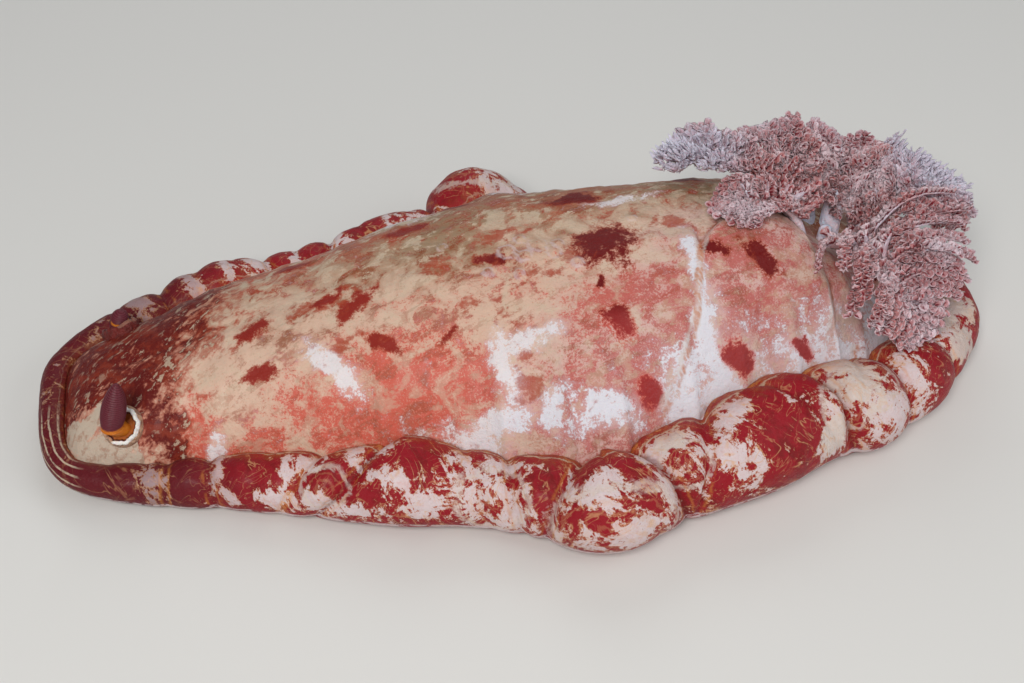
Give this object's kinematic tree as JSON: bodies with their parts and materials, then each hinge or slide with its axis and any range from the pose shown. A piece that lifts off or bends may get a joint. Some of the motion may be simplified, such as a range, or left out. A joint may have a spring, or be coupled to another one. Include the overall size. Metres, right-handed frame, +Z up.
{
  "type": "spanish dancer nudibranch (Hexabranchus sanguineus), still life-size model",
  "caption": "Spanish dancer nudibranch resting on its broad foot, with the mantle margin rolled up, feathery gill plumes spread over the rear and a raised rhinophore.",
  "frame": {"origin": "centre of the whole animal's bounding box on the floor plane, under the sole of the foot", "axes": "-X towards the head, +X towards the tail, -Y towards the animal's left side, +Z up"},
  "size_m": [0.3138, 0.1778, 0.0697],
  "materials": {
    "mottled_skin": "moist skin, cream with salmon-red mottling and a few dark red spots",
    "margin_skin": "moist skin, deep crimson with white splotches and fine pale lines",
    "sole_skin": "moist skin, plain salmon pink",
    "sheath_rim": "moist skin with a white lip",
    "rhinophore_skin": "dark maroon club with fine lamellae on an orange-brown stalk",
    "gill_skin": "mauve-pink feathery leaflets with pale lilac stems"
  },
  "bodies": {
    "root": {"head_mantle": "mottled_skin", "back_front": "mottled_skin", "back_middle": "mottled_skin", "back_rear": "mottled_skin", "margin_head_left": "margin_skin", "margin_head_right": "margin_skin", "margin_left_front": "margin_skin", "margin_left_middle": "margin_skin", "margin_left_rear": "margin_skin", "margin_left_tail": "margin_skin", "margin_tail_left": "margin_skin", "margin_tail_right": "margin_skin", "margin_right_tail": "margin_skin", "margin_right_rear": "margin_skin", "margin_right_middle": "margin_skin", "margin_right_front": "margin_skin", "foot": "sole_skin", "tail": "sole_skin", "head": "sole_skin", "mouth": "sole_skin", "oral_tentacle_left": "sole_skin", "oral_tentacle_right": "sole_skin", "rhinophore_sheath_left": "sheath_rim", "rhinophore_sheath_right": "sheath_rim", "rhinophore_left": "rhinophore_skin", "rhinophore_right": "rhinophore_skin", "gill_1": "gill_skin", "gill_2": "gill_skin", "gill_3": "gill_skin", "gill_4": "gill_skin", "gill_5": "gill_skin", "gill_6": "gill_skin", "anal_papilla": "gill_skin"}
  },
  "joints": []
}
